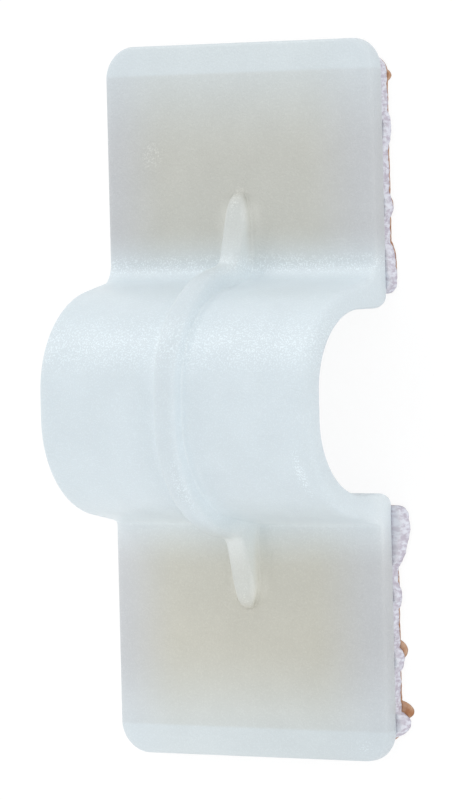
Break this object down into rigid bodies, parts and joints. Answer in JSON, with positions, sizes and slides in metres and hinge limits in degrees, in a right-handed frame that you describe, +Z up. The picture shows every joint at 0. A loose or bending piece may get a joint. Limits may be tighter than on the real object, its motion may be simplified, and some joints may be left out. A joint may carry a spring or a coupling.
{
  "type": "adhesive cable clip",
  "caption": "Hat-shaped nylon cable clip with a stiffening rib over the arch and a self-adhesive foam foot with its liner under each flange.",
  "frame": {"origin": "under the middle of the clip, level with the undersides of the release liners", "axes": "+X along the cable, +Y across from one flange to the other, +Z up through the crown of the arch"},
  "size_m": [0.0183, 0.0392, 0.0099],
  "materials": {
    "nylon": "natural nylon, milky and slightly translucent, fine spark-eroded satin",
    "foam_tape": "matte white closed-cell foam tape, torn at one edge",
    "liner_paper": "matte brown siliconed release paper"
  },
  "bodies": {
    "root": {"clip_body": "nylon", "upper_foam_pad": "foam_tape", "lower_foam_pad": "foam_tape", "upper_release_liner": "liner_paper", "lower_release_liner": "liner_paper"}
  },
  "joints": []
}
